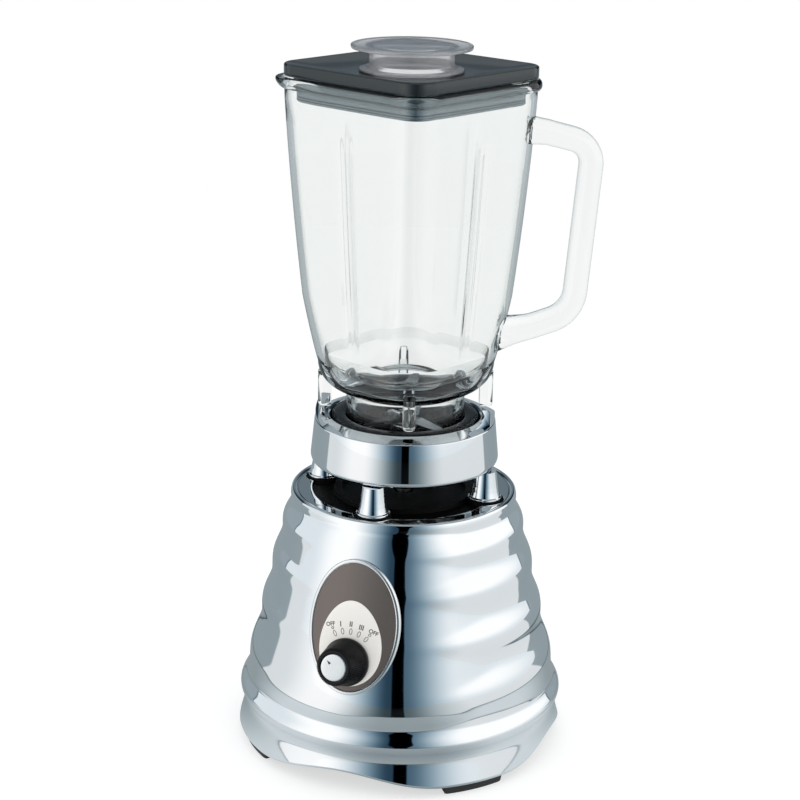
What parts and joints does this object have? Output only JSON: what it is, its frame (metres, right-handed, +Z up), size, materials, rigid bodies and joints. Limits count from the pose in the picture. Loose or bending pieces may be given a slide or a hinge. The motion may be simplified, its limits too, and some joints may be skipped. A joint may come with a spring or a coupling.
{
  "type": "countertop blender",
  "caption": "Countertop blender: rippled chrome base with a rotary switch, a ring on posts, a square glass jar with blades, a push-in lid and a clear feeder cap.",
  "frame": {"origin": "on the worktop, midway between the four feet, on the motor's axis", "axes": "+Z up along the motor's axis, -Y towards the dial"},
  "size_m": [0.1812, 0.1897, 0.3731],
  "materials": {
    "chrome": "mirror-polished chrome plate",
    "silver": "satin silver",
    "taupe": "satin brown-grey",
    "cream": "satin off-white",
    "black_gloss": "glossy black",
    "black_matte": "satin black",
    "rubber": "matt black",
    "steel": "plain steel",
    "laminations": "stacked steel sheet",
    "copper": "enamelled copper wire",
    "brass": "drawn brass",
    "carbon": "pressed carbon",
    "glass": "clear pressed glass",
    "clear_plastic": "clear moulded plastic"
  },
  "bodies": {
    "base": {"base_shell": "chrome", "bottom_cover": "black_matte", "rubber_feet": "rubber", "cover_screws": "steel", "top_housing": "black_gloss", "support_posts": "chrome", "post_screws": "steel", "jar_ring": "chrome", "seat_cushion": "rubber", "dial_plate": "taupe", "dial_rim": "silver", "dial_face": "cream", "switch_body": "black_matte", "switch_nut": "steel", "cord_bushing": "black_matte", "upper_bracket": "steel", "lower_bracket": "steel", "motor_bolts": "steel", "stator_core": "laminations", "field_coils": "copper", "upper_bearing": "steel", "lower_bearing": "steel", "brush_holders": "brass", "carbon_brushes": "carbon"},
    "rotor": {"motor_shaft": "steel", "drive_stud": "steel", "armature_core": "laminations", "armature_windings": "copper", "commutator": "copper", "cooling_fan": "black_matte"},
    "knob": {"control_knob": "black_matte", "knob_disc": "silver", "switch_shaft": "steel"},
    "jar": {"glass_jar": "glass", "base_collar": "black_matte", "sealing_gasket": "rubber", "blade_bearing": "steel"},
    "blades": {"blade_shaft": "steel", "upper_blade": "steel", "lower_blade": "steel", "blade_nut": "steel", "drive_socket": "steel"},
    "lid": {"jar_lid": "black_gloss"},
    "cap": {"feeder_cap": "clear_plastic"}
  },
  "joints": [
    {"name": "motor_spin", "type": "hinge", "parent": "base", "child": "rotor", "pos_m": [0, 0, 0.1], "axis": [0, 0, 1], "continuous": true},
    {"name": "knob_turn", "type": "hinge", "parent": "base", "child": "knob", "pos_m": [0, -0.07785, 0.07054], "axis": [0, -0.9718, 0.2357], "range_deg": [-66, 0]},
    {"name": "jar_lift", "type": "slide", "parent": "base", "child": "jar", "axis": [0, 0, 1], "range_m": [0, 0.2]},
    {"name": "blade_spin", "type": "hinge", "parent": "jar", "child": "blades", "pos_m": [0, 0, 0.17], "axis": [0, 0, 1], "continuous": true},
    {"name": "lid_lift", "type": "slide", "parent": "jar", "child": "lid", "axis": [0, 0, 1], "range_m": [0, 0.12]},
    {"name": "cap_lift", "type": "slide", "parent": "lid", "child": "cap", "axis": [0, 0, 1], "range_m": [0, 0.08]}
  ],
  "couplings": [
    {"joint": "blade_spin", "follows": "motor_spin", "ratio": 1}
  ]
}
